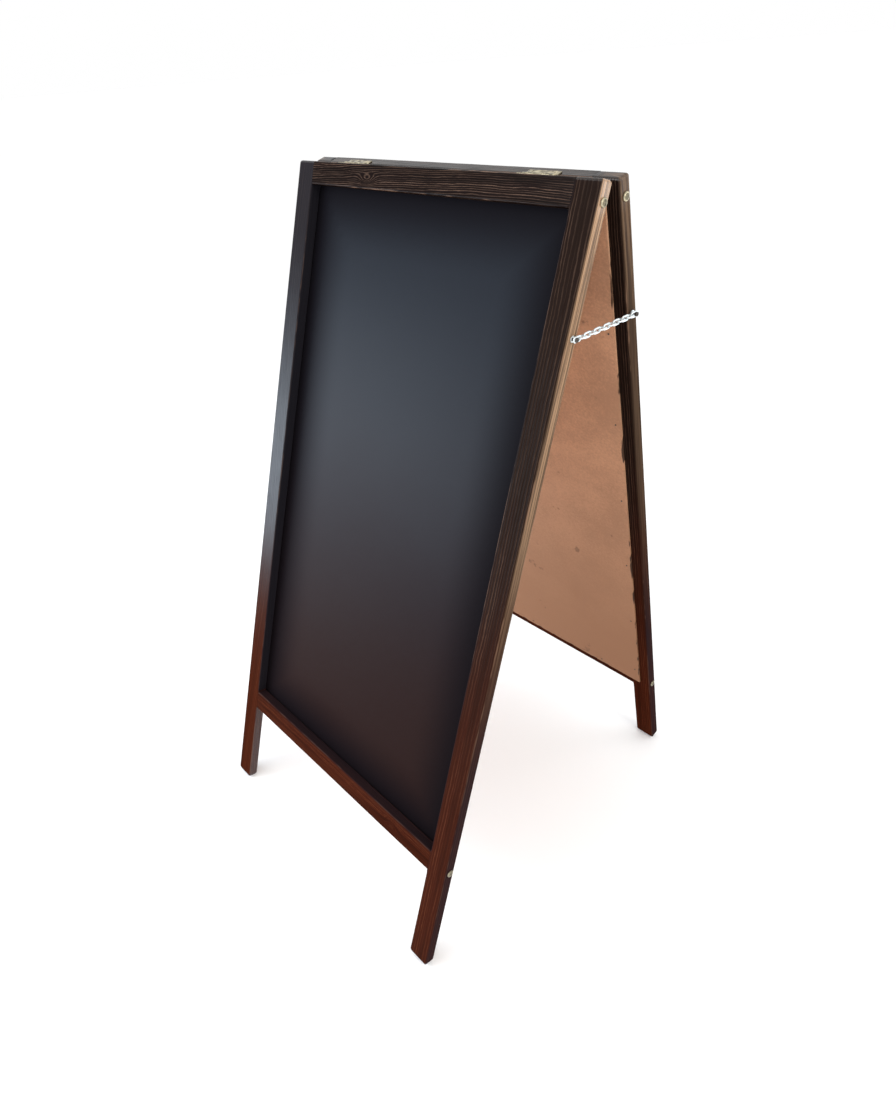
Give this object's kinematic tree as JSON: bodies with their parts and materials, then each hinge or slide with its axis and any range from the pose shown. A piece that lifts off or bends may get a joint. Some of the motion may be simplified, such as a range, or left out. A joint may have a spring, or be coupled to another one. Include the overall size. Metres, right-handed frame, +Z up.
{
  "type": "sandwich board",
  "caption": "Folding A-frame sandwich board: two stained timber frames with recessed blackboard panels, joined by butt hinges at the top and held open by side chains.",
  "frame": {"origin": "on the ground, midway between the front and rear feet and midway between the stiles", "axes": "+Z up, +X to the right seen from the front, the front panel faces -Y"},
  "size_m": [0.5932, 0.7186, 1.19],
  "materials": {
    "stained_pine": "dark stained, brushed and varnished pine",
    "blackboard": "hardboard, matt black writing coat on the outer face, bare on the inner face",
    "brass": "polished brass",
    "bright_zinc": "bright zinc plated steel",
    "dark_steel": "bronzed panel pins and blackened chain screws"
  },
  "bodies": {
    "front_frame": {"front_left_stile": "stained_pine", "front_right_stile": "stained_pine", "front_top_rail": "stained_pine", "front_bottom_rail": "stained_pine", "front_panel": "blackboard", "front_panel_pins": "dark_steel", "front_frame_screws": "brass", "front_screw_cups": "brass", "front_hinge_screws": "brass", "front_chain_washers": "bright_zinc", "front_chain_screws": "dark_steel", "left_hinge_front_leaf": "brass", "right_hinge_front_leaf": "brass", "left_hinge_pin": "brass", "right_hinge_pin": "brass"},
    "rear_frame": {"rear_left_stile": "stained_pine", "rear_right_stile": "stained_pine", "rear_top_rail": "stained_pine", "rear_bottom_rail": "stained_pine", "rear_panel": "blackboard", "rear_panel_pins": "dark_steel", "rear_frame_screws": "brass", "rear_screw_cups": "brass", "rear_hinge_screws": "brass", "rear_chain_washers": "bright_zinc", "rear_chain_screws": "dark_steel", "left_hinge_rear_leaf": "brass", "right_hinge_rear_leaf": "brass"},
    "left_chain_front_run": {"left_chain_front_run": "bright_zinc"},
    "left_chain_middle_link": {"left_chain_middle_link": "bright_zinc"},
    "left_chain_rear_run": {"left_chain_rear_run": "bright_zinc"},
    "right_chain_front_run": {"right_chain_front_run": "bright_zinc"},
    "right_chain_middle_link": {"right_chain_middle_link": "bright_zinc"},
    "right_chain_rear_run": {"right_chain_rear_run": "bright_zinc"}
  },
  "joints": [
    {"name": "fold", "type": "hinge", "parent": "front_frame", "child": "rear_frame", "pos_m": [0, 0, 1.18503], "axis": [-1, 0, 0], "range_deg": [0, 31.6], "deforming": ["left_chain_front_run", "left_chain_middle_link", "left_chain_rear_run", "right_chain_front_run", "right_chain_middle_link", "right_chain_rear_run"]},
    {"name": "left_chain_front_swing", "type": "hinge", "parent": "front_frame", "child": "left_chain_front_run", "pos_m": [0, -0.06521, 1.01371], "axis": [-1, 0, 0], "range_deg": [0, 94.38]},
    {"name": "left_chain_middle_turn", "type": "hinge", "parent": "left_chain_front_run", "child": "left_chain_middle_link", "pos_m": [0, -0.0039, 1.01371], "axis": [1, 0, 0], "range_deg": [0, 78.58]},
    {"name": "left_chain_rear_swing", "type": "hinge", "parent": "rear_frame", "child": "left_chain_rear_run", "pos_m": [0, 0.06521, 1.01371], "axis": [1, 0, 0], "range_deg": [0, 94.38]},
    {"name": "right_chain_front_swing", "type": "hinge", "parent": "front_frame", "child": "right_chain_front_run", "pos_m": [0, -0.06521, 1.01371], "axis": [-1, 0, 0], "range_deg": [0, 94.38]},
    {"name": "right_chain_middle_turn", "type": "hinge", "parent": "right_chain_front_run", "child": "right_chain_middle_link", "pos_m": [0, -0.0039, 1.01371], "axis": [1, 0, 0], "range_deg": [0, 78.58]},
    {"name": "right_chain_rear_swing", "type": "hinge", "parent": "rear_frame", "child": "right_chain_rear_run", "pos_m": [0, 0.06521, 1.01371], "axis": [1, 0, 0], "range_deg": [0, 94.38]}
  ],
  "couplings": [
    {"joint": "left_chain_front_swing", "follows": "fold", "ratio": 2.985},
    {"joint": "left_chain_middle_turn", "follows": "fold", "ratio": 2.485},
    {"joint": "left_chain_rear_swing", "follows": "fold", "ratio": 2.985},
    {"joint": "right_chain_front_swing", "follows": "fold", "ratio": 2.985},
    {"joint": "right_chain_middle_turn", "follows": "fold", "ratio": 2.485},
    {"joint": "right_chain_rear_swing", "follows": "fold", "ratio": 2.985}
  ]
}
